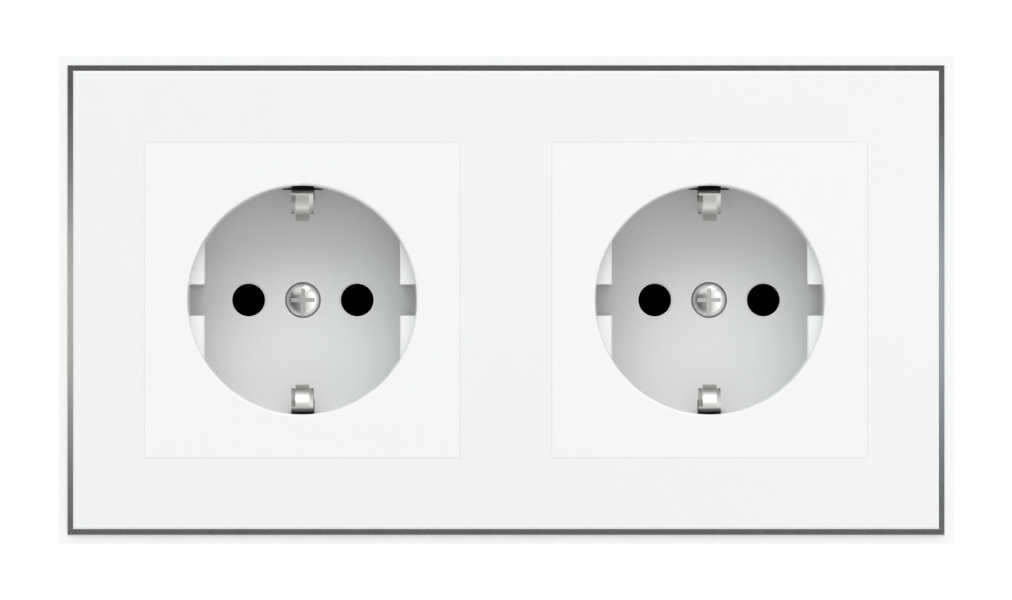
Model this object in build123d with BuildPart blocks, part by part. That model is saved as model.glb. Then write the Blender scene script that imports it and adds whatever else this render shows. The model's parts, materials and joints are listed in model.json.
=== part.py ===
import os
from math import cos, radians, sin

from build123d import *

# A two-gang wall socket: two side-earth inserts in one glass frame.
# Millimetres. X runs right, Z up and Y into the wall; the wall plane is y = 0.

# Frame of the pair
GANG_PITCH = 71.0
FRAME_MARGIN = 14.0
FLANGE_BORDER = 1.6
FLANGE_THICKNESS = 2.4
FLANGE_RIM_SETBACK = 1.4
TRIM_WIDTH = 1.0
TRIM_SETBACK = 0.4
TRIM_BEVEL = 0.8
GLASS_HEIGHT = 10.0
GLASS_THICKNESS = 4.0
GLASS_BEVEL = 0.3
GLASS_BEVEL_DEPTH = 0.17
WEB_THICKNESS = 2.4
LEDGE_WIDTH = 2.0

# Centre plate and plug recess
PLATE_SIZE = 55.0
PLATE_PROUD = 0.3
PLATE_THICKNESS = 2.0
PLATE_CHAMFER = 0.15
SKIRT_WIDTH = 1.6
BOWL_RADIUS = 20.35
BOWL_DEPTH = 17.5
BOWL_DRAFT = 0.7
BOWL_WALL = 1.45
RIM_ROUND = 0.4
FLOOR_THICKNESS = 2.0
GUIDE_REACH = 3.3
GUIDE_SETBACK = 3.0
GUIDE_CHAMFER = 0.25
NOTCH_WIDTH = 5.44
PIN_SPACING = 19.0
PIN_HOLE_RADIUS = 2.875
PIN_HOLE_CHAMFER = 0.28
BOSS_RADIUS = 4.2
SLOT_SETBACK = 1.2
SLOT_HEIGHT = 4.5

# Centre screw and its nut
SCREW_HEAD_RADIUS = 2.85
SCREW_HEAD_DOME = 0.7
SCREW_HEAD_HEIGHT = 2.0
SCREW_HEAD_PROUD = 0.4
SCREW_RADIUS = 1.75
SCREW_TAIL = 1.8
CROSS_LENGTH = 4.0
CROSS_WIDTH = 0.66
CROSS_DEPTH = 1.0
NUT_SIZE = 6.0
NUT_THICKNESS = 2.4
NUT_WEB = 2.9

# Earth bracket
EARTH_THICKNESS = 0.7
EARTH_WIDTH = 6.6
TONGUE_WIDTH = 2.4
RAIL_WIDTH = 0.73
RAIL_FOLD = 0.5
RAIL_START = 30.0
RAIL_END_INSET = 5.3
LEG_INSET = 0.45
LEG_SHOULDER = 15.3
NOSE_INSET = 5.64
NOSE_LENGTH = 1.2
LEAD_RADIUS = 3.9
LEAD_SWEEP = 85.0
LIP_RADIUS = 0.45
LIP_SWEEP = 75.0
TIP_SETBACK = 3.0
BEND_RADIUS = 1.0
EARTH_TAIL_HEIGHT = 11.0

# Shutter, its spring and the contact cover
SHUTTER_SPACE = 2.9
SHUTTER_LAP = 0.45
SHUTTER_TRAVEL = 6.4
SHUTTER_BRIDGE = 3.6
WING_DEPTH = 6.3
SPRING_THICKNESS = 0.3
SPRING_WIDTH = 1.4
SPRING_SPAN = 16.0
POST_SETBACK = 4.8
COVER_THICKNESS = 6.0

# Contacts and terminals
PIN_RADIUS = 2.4
SLEEVE_WALL = 0.8
SLEEVE_LENGTH = 8.4
SLEEVE_SLIT = 1.2
SLEEVE_ROOM = 1.0
PAD_WIDTH = 8.0
PAD_THICKNESS = 1.0
TERMINAL_DROP = 12.0
EARTH_TERMINAL_RISE = 15.0
CLAMP_THICKNESS = 1.0
TERMINAL_SCREW_RADIUS = 1.45
TERMINAL_HEAD_RADIUS = 3.1
TERMINAL_HEAD_HEIGHT = 2.2
TERMINAL_SCREW_LENGTH = 5.5
DRIVER_SLOT = 0.8

# Base and support ring
CUP_WALL = 1.3
BLOCK_DEPTH = 10.4
BLOCK_HALF_WIDTH = 19.0
BACK_WALL_HEIGHT = 5.0
BACK_WALL = 1.5
WIRE_NOTCH = 6.0
RING_GAP = 1.0
RING_THICKNESS = 1.2
RING_CORNER = 8.0
BOX_SCREW_SPACING = 60.0
BOX_SCREW_HOLE_RADIUS = 1.8
EAR_THICKNESS = 4.0
EAR_WIDTH = 6.0
EAR_REACH = 5.9
TAB_SETBACK = 2.4
TAB_WIDTH = 4.0
TAB_HOOK = 1.6

# Fixing claws
CLAW_OFFSET = 2.0
CLAW_SCREW_RADIUS = 1.5
CLAW_SCREW_TAIL = 1.67
CLAW_HEAD_RADIUS = 2.6
CLAW_HEAD_TOP = 1.35
CLAW_SEAT_GAP = 0.6
CLAW_PIVOT_RISE = 2.13
CLAW_THICKNESS = 1.0
CLAW_WIDTH = 10.0
CLAW_TOP = 5.0
CLAW_FOOT_GAP = 1.6
CLAW_FOOT_REACH = 3.8
CLAW_TOOTH = 1.0
CLAW_SWING = 10.0

# Clearances
PLATE_GAP = 0.02
FIT_GAP = 0.1
FREE_GAP = 0.3
RING_CLEARANCE = 0.5

# Outlines and depths that follow from the sizes above
FRAME_WIDTH = 2 * GANG_PITCH + FRAME_MARGIN
FRAME_HEIGHT = GANG_PITCH + FRAME_MARGIN
TRIM_SIZE = (FRAME_WIDTH - 2 * FLANGE_BORDER, FRAME_HEIGHT - 2 * FLANGE_BORDER)
GLASS_SIZE = (TRIM_SIZE[0] - 2 * TRIM_WIDTH, TRIM_SIZE[1] - 2 * TRIM_WIDTH)
GANG_CENTRES = {"left": -GANG_PITCH / 2, "right": GANG_PITCH / 2}
RING_SIZE = GANG_PITCH - RING_GAP

GLASS_Y = -GLASS_HEIGHT
LEDGE_Y = GLASS_Y + GLASS_THICKNESS
PLATE_Y = GLASS_Y - PLATE_PROUD
PLATE_BACK_Y = PLATE_Y + PLATE_THICKNESS
FLOOR_Y = PLATE_Y + BOWL_DEPTH
FLOOR_BACK_Y = FLOOR_Y + FLOOR_THICKNESS
COVER_Y = FLOOR_BACK_Y + SHUTTER_SPACE
STRAP_BACK_Y = COVER_Y + EARTH_THICKNESS
COVER_BACK_Y = COVER_Y + COVER_THICKNESS
NUT_Y = COVER_BACK_Y + NUT_WEB
SCREW_END_Y = NUT_Y + NUT_THICKNESS + SCREW_TAIL
SHELF_Y = COVER_BACK_Y + BLOCK_DEPTH
BASE_BACK_Y = SHELF_Y + BACK_WALL_HEIGHT
CLAW_FOOT_Y = COVER_BACK_Y + CUP_WALL + CLAW_FOOT_GAP + CLAW_THICKNESS
SCREW_SEAT_Y = FLOOR_Y - SCREW_HEAD_PROUD + SCREW_HEAD_HEIGHT
SLOT_Y = PLATE_Y + SLOT_SETBACK
LEG_SHOULDER_Y = PLATE_Y + LEG_SHOULDER
LEAF_WIDTH = TONGUE_WIDTH + 2 * RAIL_WIDTH

FLOOR_RADIUS = BOWL_RADIUS - BOWL_DRAFT
BOWL_OUTSIDE = BOWL_RADIUS + BOWL_WALL
CUP_INSIDE = BOWL_OUTSIDE + FREE_GAP
CUP_OUTSIDE = CUP_INSIDE + CUP_WALL
COVER_RADIUS = CUP_INSIDE - FREE_GAP
RING_OPENING = BOWL_OUTSIDE + RING_CLEARANCE
TAB_RADIUS = CUP_OUTSIDE + TAB_SETBACK
CLAW_X = CUP_OUTSIDE + CLAW_OFFSET
CLAW_PIVOT_Y = -RING_THICKNESS - CLAW_PIVOT_RISE
PIN_X = PIN_SPACING / 2
LAP_Z = PIN_HOLE_RADIUS + SHUTTER_LAP
LEG_INSIDE = max(BOSS_RADIUS + 2 * FREE_GAP, PIN_X - LAP_Z - SHUTTER_LAP)
LEG_OUTSIDE = PIN_X + LAP_Z + SHUTTER_LAP
POCKET = PIN_RADIUS + SLEEVE_WALL + SLEEVE_ROOM
BRIDGE_Z = BOSS_RADIUS + 2 * FREE_GAP
BRIDGE_TOP = BRIDGE_Z + SHUTTER_BRIDGE
POST_Z = COVER_RADIUS - POST_SETBACK


def facing(y):
    """A plane at depth y that faces the room, with its own x along X and its own y along Z."""
    return Plane(origin=(0, y, 0), x_dir=(1, 0, 0), z_dir=(0, -1, 0))


def bend_section(centre, turn):
    """A plane through a bend's axis, its own x along X and its own y outward, turned from the nose to the tip."""
    angle = radians(turn)
    return Plane(origin=(0, *centre), x_dir=(1, 0, 0), z_dir=(0, cos(angle), -sin(angle)))


# Mounting frame: flange on the wall, rim round the trim, body behind the glass, ledges for the centre plates
with BuildPart() as mounting_frame:
    with BuildSketch(facing(0)):
        Rectangle(FRAME_WIDTH, FRAME_HEIGHT)
    extrude(amount=FLANGE_THICKNESS)
    with BuildSketch(facing(-FLANGE_THICKNESS)):
        Rectangle(FRAME_WIDTH, FRAME_HEIGHT)
        Rectangle(*TRIM_SIZE, mode=Mode.SUBTRACT)
    extrude(amount=GLASS_HEIGHT - FLANGE_RIM_SETBACK - FLANGE_THICKNESS)
    with BuildSketch(facing(-FLANGE_THICKNESS)):
        Rectangle(*GLASS_SIZE)
    extrude(amount=-FLANGE_THICKNESS - LEDGE_Y)
    with BuildSketch(facing(0)):
        Rectangle(GANG_PITCH + RING_SIZE + 2 * RING_CLEARANCE, RING_SIZE + 2 * RING_CLEARANCE)
    extrude(amount=-LEDGE_Y - WEB_THICKNESS, mode=Mode.SUBTRACT)
    with BuildSketch(facing(0)):
        for x in GANG_CENTRES.values():
            with Locations((x, 0)):
                Rectangle(PLATE_SIZE - 2 * LEDGE_WIDTH, PLATE_SIZE - 2 * LEDGE_WIDTH)
                Rectangle(2 * (CLAW_X + 2 * CLAW_HEAD_RADIUS), 4 * CLAW_HEAD_RADIUS - 2)
    extrude(amount=-LEDGE_Y, mode=Mode.SUBTRACT)

# Trim round the glass, bevelled outward
with BuildPart() as trim_ring:
    with BuildSketch(facing(-FLANGE_THICKNESS)):
        Rectangle(*TRIM_SIZE)
        Rectangle(*GLASS_SIZE, mode=Mode.SUBTRACT)
    extrude(amount=GLASS_HEIGHT - TRIM_SETBACK - FLANGE_THICKNESS)
    front = trim_ring.faces().sort_by(Axis.Y)[0]
    chamfer(front.outer_wire().edges(), TRIM_BEVEL)

# Glass panel with one square cut-out for each centre plate
with BuildPart() as glass_panel:
    with BuildSketch(facing(LEDGE_Y)):
        Rectangle(*GLASS_SIZE)
        opening = PLATE_SIZE + 2 * PLATE_GAP
        for x in GANG_CENTRES.values():
            with Locations((x, 0)):
                Rectangle(opening, opening, mode=Mode.SUBTRACT)
    extrude(amount=GLASS_THICKNESS)
    front = glass_panel.faces().sort_by(Axis.Y)[0]
    chamfer(front.outer_wire().edges(), GLASS_BEVEL, GLASS_BEVEL_DEPTH, reference=front)

# Centre plate: square face, skirt, plug recess with side guides, boss for the screw
with BuildPart() as centre_plate:
    with BuildSketch(facing(LEDGE_Y)):
        Rectangle(PLATE_SIZE, PLATE_SIZE)
    extrude(amount=LEDGE_Y - PLATE_Y)
    front = centre_plate.faces().sort_by(Axis.Y)[0]
    chamfer(front.outer_wire().edges(), PLATE_CHAMFER)
    with BuildSketch(facing(LEDGE_Y)):
        Rectangle(PLATE_SIZE - 2 * SKIRT_WIDTH, PLATE_SIZE - 2 * SKIRT_WIDTH)
    extrude(amount=LEDGE_Y - PLATE_BACK_Y, mode=Mode.SUBTRACT)
    with BuildSketch(facing(FLOOR_BACK_Y)):
        Circle(BOWL_OUTSIDE)
    extrude(amount=FLOOR_BACK_Y - PLATE_BACK_Y)
    with BuildSketch(facing(COVER_Y)):
        Circle(BOSS_RADIUS)
    extrude(amount=SHUTTER_SPACE)
    with BuildSketch(Plane.XY):
        with BuildLine():
            Polyline(
                (BOWL_RADIUS, PLATE_Y),
                (0, PLATE_Y),
                (0, FLOOR_Y),
                (FLOOR_RADIUS, FLOOR_Y),
                (BOWL_RADIUS - RIM_ROUND, PLATE_Y + RIM_ROUND),
            )
            TangentArc(
                (BOWL_RADIUS - RIM_ROUND, PLATE_Y + RIM_ROUND),
                (BOWL_RADIUS, PLATE_Y),
                tangent=(0, -1),
            )
        make_face()
    revolve(axis=Axis.Y, mode=Mode.SUBTRACT)
    with BuildSketch(facing(FLOOR_Y)):
        Circle(BOWL_RADIUS + BOWL_WALL / 2)
        Rectangle(2 * (BOWL_RADIUS - GUIDE_REACH), 3 * BOWL_RADIUS, mode=Mode.SUBTRACT)
        Rectangle(3 * BOWL_RADIUS, NOTCH_WIDTH, mode=Mode.SUBTRACT)
    extrude(amount=BOWL_DEPTH - GUIDE_SETBACK)
    guide_front = centre_plate.edges().filter_by(Axis.Z).filter_by_position(
        Axis.Y, PLATE_Y + GUIDE_SETBACK - 0.01, PLATE_Y + GUIDE_SETBACK + 0.01
    )
    chamfer(guide_front, GUIDE_CHAMFER)
    with BuildSketch(facing(FLOOR_BACK_Y)):
        with Locations((-PIN_X, 0), (PIN_X, 0)):
            Circle(PIN_HOLE_RADIUS)
    extrude(amount=FLOOR_THICKNESS, mode=Mode.SUBTRACT)
    hole_rims = centre_plate.edges().filter_by(GeomType.CIRCLE).filter_by(
        lambda e: abs(e.radius - PIN_HOLE_RADIUS) < 1e-6 and abs(e.center().Y - FLOOR_Y) < 1e-6
    )
    chamfer(hole_rims, PIN_HOLE_CHAMFER)
    with BuildSketch(facing(SCREW_SEAT_Y)):
        Circle(SCREW_HEAD_RADIUS + FREE_GAP)
    extrude(amount=SCREW_SEAT_Y - FLOOR_Y, mode=Mode.SUBTRACT)
    with BuildSketch(facing(COVER_Y)):
        Circle(SCREW_RADIUS + FIT_GAP)
    extrude(amount=COVER_Y - SCREW_SEAT_Y, mode=Mode.SUBTRACT)
    # clip slots through the wall, wider at the floor where the bracket passes
    with BuildSketch(facing(FLOOR_BACK_Y)):
        with Locations((0, FLOOR_RADIUS), (0, -FLOOR_RADIUS)):
            Rectangle(LEAF_WIDTH + 2 * FIT_GAP, SLOT_HEIGHT)
    extrude(amount=FLOOR_BACK_Y - SLOT_Y, mode=Mode.SUBTRACT)
    with BuildSketch(facing(FLOOR_BACK_Y)):
        slot_middle = BOWL_RADIUS - LEG_INSET
        with Locations((0, slot_middle), (0, -slot_middle)):
            Rectangle(EARTH_WIDTH + 4 * FIT_GAP, EARTH_THICKNESS + 2 * FREE_GAP)
    extrude(amount=FLOOR_BACK_Y - LEG_SHOULDER_Y + 3 * BEND_RADIUS, mode=Mode.SUBTRACT)

# Centre screw: domed head with cross recess
with BuildPart() as centre_screw:
    screw_top = SCREW_SEAT_Y - SCREW_HEAD_HEIGHT
    with BuildSketch(Plane.XY):
        with BuildLine():
            TangentArc((0, screw_top), (SCREW_HEAD_RADIUS, screw_top + SCREW_HEAD_DOME), tangent=(1, 0))
            Polyline(
                (SCREW_HEAD_RADIUS, screw_top + SCREW_HEAD_DOME),
                (SCREW_HEAD_RADIUS, SCREW_SEAT_Y),
                (0, SCREW_SEAT_Y),
                (0, screw_top),
            )
        make_face()
    revolve(axis=Axis.Y)
    with BuildSketch(facing(SCREW_END_Y)):
        Circle(SCREW_RADIUS)
    extrude(amount=SCREW_END_Y - SCREW_SEAT_Y)
    with BuildSketch(facing(screw_top + CROSS_DEPTH)):
        Rectangle(CROSS_LENGTH, CROSS_WIDTH)
        Rectangle(CROSS_WIDTH, CROSS_LENGTH)
    extrude(amount=CROSS_DEPTH, mode=Mode.SUBTRACT)

# Square nut behind the web of the base
with BuildPart() as screw_nut:
    with BuildSketch(facing(NUT_Y + NUT_THICKNESS)):
        Rectangle(NUT_SIZE, NUT_SIZE)
        Circle(SCREW_RADIUS + FIT_GAP / 2, mode=Mode.SUBTRACT)
    extrude(amount=NUT_THICKNESS)

# Earth bracket: strap across the cover, a clip at each end and a tail to the earth terminal
with BuildPart() as earth_bracket:
    mid_strap = COVER_Y + EARTH_THICKNESS / 2
    leg_z = BOWL_RADIUS - LEG_INSET
    lead_centre = (
        PLATE_Y + TIP_SETBACK + LEAD_RADIUS * sin(radians(LEAD_SWEEP)),
        BOWL_RADIUS - NOSE_INSET + LEAD_RADIUS,
    )
    nose_z = lead_centre[1] - LEAD_RADIUS
    with BuildSketch(Plane.YZ):
        with BuildLine():
            FilletPolyline(
                (mid_strap, 0),
                (mid_strap, leg_z),
                (LEG_SHOULDER_Y - BEND_RADIUS, leg_z),
                (lead_centre[0] + NOSE_LENGTH, nose_z),
                (lead_centre[0], nose_z),
                radius=BEND_RADIUS,
            )
        trace(line_width=EARTH_THICKNESS)
    extrude(amount=EARTH_WIDTH / 2, both=True)
    # the leaf is narrower than the leg
    with BuildSketch(facing(LEG_SHOULDER_Y)):
        with Locations((0, BOWL_RADIUS - NOSE_INSET / 2)):
            Rectangle(2 * EARTH_WIDTH, 3 * NOSE_INSET)
            Rectangle(LEAF_WIDTH, 3 * NOSE_INSET, mode=Mode.SUBTRACT)
    extrude(amount=LEG_SHOULDER_Y - lead_centre[0] + EARTH_THICKNESS, mode=Mode.SUBTRACT)
    # rounded lead-in from the nose to the tip
    lead_axis = Axis((0, *lead_centre), (-1, 0, 0))
    with BuildSketch(bend_section(lead_centre, 0)):
        with Locations((0, LEAD_RADIUS)):
            Rectangle(TONGUE_WIDTH, EARTH_THICKNESS)
    revolve(axis=lead_axis, revolution_arc=LEAD_SWEEP)
    # side rails sloping back along the lead-in
    edge = TONGUE_WIDTH / 2
    outer = LEAD_RADIUS + EARTH_THICKNESS / 2
    inner = LEAD_RADIUS - EARTH_THICKNESS / 2
    with BuildSketch(bend_section(lead_centre, RAIL_START)):
        with BuildLine():
            Polyline(
                (-edge, outer),
                (edge, outer),
                (edge + RAIL_WIDTH, outer - RAIL_FOLD),
                (edge + RAIL_WIDTH, inner),
                (-edge - RAIL_WIDTH, inner),
                (-edge - RAIL_WIDTH, outer - RAIL_FOLD),
                close=True,
            )
        make_face()
    revolve(axis=lead_axis, revolution_arc=LEAD_SWEEP - RAIL_START)
    # lip turned back at the tip
    reach = LEAD_RADIUS - LIP_RADIUS
    lip_centre = (
        lead_centre[0] - reach * sin(radians(LEAD_SWEEP)),
        lead_centre[1] - reach * cos(radians(LEAD_SWEEP)),
    )
    with BuildSketch(bend_section(lip_centre, LEAD_SWEEP)):
        with Locations((0, LIP_RADIUS)):
            Rectangle(LEAF_WIDTH, EARTH_THICKNESS)
    revolve(axis=Axis((0, *lip_centre), (-1, 0, 0)), revolution_arc=LIP_SWEEP)
    # only the tongue goes on past the ends of the rails
    rail_end = BOWL_RADIUS - RAIL_END_INSET
    with BuildSketch(facing(LEG_SHOULDER_Y)):
        with Locations((0, rail_end / 2 + BOWL_RADIUS / 4)):
            Rectangle(2 * EARTH_WIDTH, rail_end - BOWL_RADIUS / 2)
            Rectangle(TONGUE_WIDTH, rail_end, mode=Mode.SUBTRACT)
    extrude(amount=LEG_SHOULDER_Y - PLATE_Y, mode=Mode.SUBTRACT)
    mirror(about=Plane.XY)
    with BuildSketch(facing(STRAP_BACK_Y)):
        Circle(SCREW_RADIUS + FIT_GAP)
    extrude(amount=EARTH_THICKNESS, mode=Mode.SUBTRACT)
    # tail and pad of the earth terminal
    with BuildSketch(facing(SHELF_Y + EARTH_THICKNESS)):
        with Locations((0, EARTH_TAIL_HEIGHT + EARTH_THICKNESS / 2)):
            Rectangle(EARTH_WIDTH, EARTH_THICKNESS)
    extrude(amount=SHELF_Y + EARTH_THICKNESS - COVER_Y)
    pad_top = EARTH_TERMINAL_RISE + PAD_WIDTH / 2
    with BuildSketch(facing(SHELF_Y + EARTH_THICKNESS)):
        with Locations((0, (EARTH_TAIL_HEIGHT + pad_top) / 2)):
            Rectangle(PAD_WIDTH, pad_top - EARTH_TAIL_HEIGHT)
        with Locations((0, EARTH_TERMINAL_RISE)):
            Circle(TERMINAL_SCREW_RADIUS + FIT_GAP / 2, mode=Mode.SUBTRACT)
    extrude(amount=EARTH_THICKNESS)

# Shutter: two ramped wings behind the pin holes, joined by a bridge over the boss
with BuildPart() as shutter:
    front_y = FLOOR_BACK_Y + FREE_GAP
    plate_back_y = COVER_Y - FREE_GAP
    wing_back_y = front_y + WING_DEPTH
    for side in (-1, 1):
        middle = side * (LEG_INSIDE + LEG_OUTSIDE) / 2
        with BuildSketch(Plane.YZ.offset(middle)):
            with BuildLine():
                Polyline(
                    (front_y, BRIDGE_TOP),
                    (front_y, LAP_Z),
                    (wing_back_y - FREE_GAP, -LAP_Z),
                    (wing_back_y, -LAP_Z),
                    (wing_back_y, LAP_Z),
                    (plate_back_y, LAP_Z),
                    (plate_back_y, BRIDGE_TOP),
                    close=True,
                )
            make_face()
        extrude(amount=(LEG_OUTSIDE - LEG_INSIDE) / 2, both=True)
    with BuildSketch(facing(plate_back_y)):
        with Locations((0, BRIDGE_Z + SHUTTER_BRIDGE / 2)):
            Rectangle(2 * LEG_INSIDE, SHUTTER_BRIDGE)
    extrude(amount=plate_back_y - front_y)

# Leaf spring bent between the bridge and the posts of the cover
with BuildPart() as shutter_spring:
    spring_low = BRIDGE_TOP + SPRING_THICKNESS / 2
    spring_high = POST_Z - SPRING_THICKNESS
    with BuildSketch(facing(FLOOR_BACK_Y + SHUTTER_SPACE / 2 + SPRING_WIDTH / 2)):
        with BuildLine():
            FilletPolyline(
                (-SPRING_SPAN / 2, spring_high),
                (-SPRING_SPAN / 8, spring_low),
                (SPRING_SPAN / 8, spring_low),
                (SPRING_SPAN / 2, spring_high),
                radius=BEND_RADIUS,
            )
        trace(line_width=SPRING_THICKNESS)
    extrude(amount=SPRING_WIDTH)

# Contact cover: eight-sided plate that closes the base, guides the shutter and carries the strap
with BuildPart() as contact_cover:
    with BuildSketch(facing(COVER_BACK_Y)):
        RegularPolygon(COVER_RADIUS, 8, rotation=22.5)
    extrude(amount=COVER_THICKNESS)
    with BuildSketch(facing(STRAP_BACK_Y)):
        Rectangle(EARTH_WIDTH + 2 * FREE_GAP, 3 * COVER_RADIUS)
    extrude(amount=EARTH_THICKNESS, mode=Mode.SUBTRACT)
    with BuildSketch(facing(FLOOR_BACK_Y + 2 * FREE_GAP + WING_DEPTH)):
        for side in (-1, 1):
            with Locations((side * (LEG_INSIDE + LEG_OUTSIDE) / 2, SHUTTER_TRAVEL / 2)):
                Rectangle(
                    LEG_OUTSIDE - LEG_INSIDE + 2 * FREE_GAP, 2 * (LAP_Z + FREE_GAP) + SHUTTER_TRAVEL
                )
    extrude(amount=WING_DEPTH, mode=Mode.SUBTRACT)
    with BuildSketch(facing(COVER_BACK_Y)):
        with Locations((-PIN_X, 0), (PIN_X, 0)):
            Rectangle(2 * PIN_HOLE_RADIUS, 2 * PIN_HOLE_RADIUS)
        Circle(SCREW_RADIUS + FIT_GAP)
        with Locations((0, EARTH_TAIL_HEIGHT + EARTH_THICKNESS / 2)):
            Rectangle(EARTH_WIDTH + 2 * FREE_GAP, EARTH_THICKNESS + 2 * FREE_GAP)
    extrude(amount=COVER_THICKNESS, mode=Mode.SUBTRACT)
    with BuildSketch(facing(COVER_Y)):
        with Locations((-SPRING_SPAN / 2, POST_Z), (SPRING_SPAN / 2, POST_Z)):
            Rectangle(SHUTTER_BRIDGE, BACK_WALL, align=(Align.CENTER, Align.MIN))
    extrude(amount=SHUTTER_SPACE - FREE_GAP)


def pin_contact(side):
    """Slit sleeve for a plug pin, with a strip to the pad of its terminal."""
    x = side * PIN_X
    inside = PIN_RADIUS + FIT_GAP / 2
    outside = inside + SLEEVE_WALL
    sleeve_y = COVER_BACK_Y + FREE_GAP
    with BuildPart() as contact:
        with BuildSketch(facing(sleeve_y + SLEEVE_LENGTH)):
            with Locations((x, 0)):
                Circle(outside)
                Circle(inside, mode=Mode.SUBTRACT)
                with Locations((0, outside)):
                    Rectangle(SLEEVE_SLIT, 2 * SLEEVE_WALL + FIT_GAP, mode=Mode.SUBTRACT)
        extrude(amount=SLEEVE_LENGTH)
        with BuildSketch(facing(SHELF_Y + PAD_THICKNESS)):
            with Locations((x, -outside)):
                Rectangle(2 * SLEEVE_SLIT, SLEEVE_WALL, align=(Align.CENTER, Align.MIN))
        extrude(amount=SHELF_Y + PAD_THICKNESS - sleeve_y - SLEEVE_LENGTH / 2)
        pad_low = TERMINAL_DROP + PAD_WIDTH / 2
        with BuildSketch(facing(SHELF_Y + PAD_THICKNESS)):
            with Locations((x, -pad_low)):
                Rectangle(PAD_WIDTH, pad_low - inside, align=(Align.CENTER, Align.MIN))
            with Locations((x, -TERMINAL_DROP)):
                Circle(TERMINAL_SCREW_RADIUS + FIT_GAP / 2, mode=Mode.SUBTRACT)
        extrude(amount=PAD_THICKNESS)
    return contact.part


# Terminals: x, z and the depth of the face that the clamp lies on
TERMINALS = (
    (-PIN_X, -TERMINAL_DROP, SHELF_Y + PAD_THICKNESS),
    (PIN_X, -TERMINAL_DROP, SHELF_Y + PAD_THICKNESS),
    (0, EARTH_TERMINAL_RISE, SHELF_Y + EARTH_THICKNESS),
)

# Square clamps under the terminal screws, open at the top
with BuildPart() as terminal_clamps:
    for x, z, seat_y in TERMINALS:
        with BuildSketch(facing(seat_y + CLAMP_THICKNESS)):
            with Locations((x, z)):
                Rectangle(PAD_WIDTH - 2 * FREE_GAP, PAD_WIDTH - 2 * FREE_GAP)
            room = TERMINAL_SCREW_RADIUS + FIT_GAP
            with Locations((x, z - room)):
                Rectangle(2 * room, PAD_WIDTH, align=(Align.CENTER, Align.MIN), mode=Mode.SUBTRACT)
        extrude(amount=CLAMP_THICKNESS)

# Six-sided terminal screws, driven from behind
with BuildPart() as terminal_screws:
    for x, z, seat_y in TERMINALS:
        head_y = seat_y + CLAMP_THICKNESS
        with BuildSketch(facing(head_y + TERMINAL_HEAD_HEIGHT)):
            with Locations((x, z)):
                RegularPolygon(TERMINAL_HEAD_RADIUS, 6)
        extrude(amount=TERMINAL_HEAD_HEIGHT)
        with BuildSketch(facing(head_y)):
            with Locations((x, z)):
                Circle(TERMINAL_SCREW_RADIUS)
        extrude(amount=TERMINAL_SCREW_LENGTH)
        with BuildSketch(facing(head_y + TERMINAL_HEAD_HEIGHT)):
            with Locations((x, z)):
                Rectangle(DRIVER_SLOT, 3 * TERMINAL_HEAD_RADIUS)
        extrude(amount=TERMINAL_HEAD_HEIGHT / 2, mode=Mode.SUBTRACT)

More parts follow.
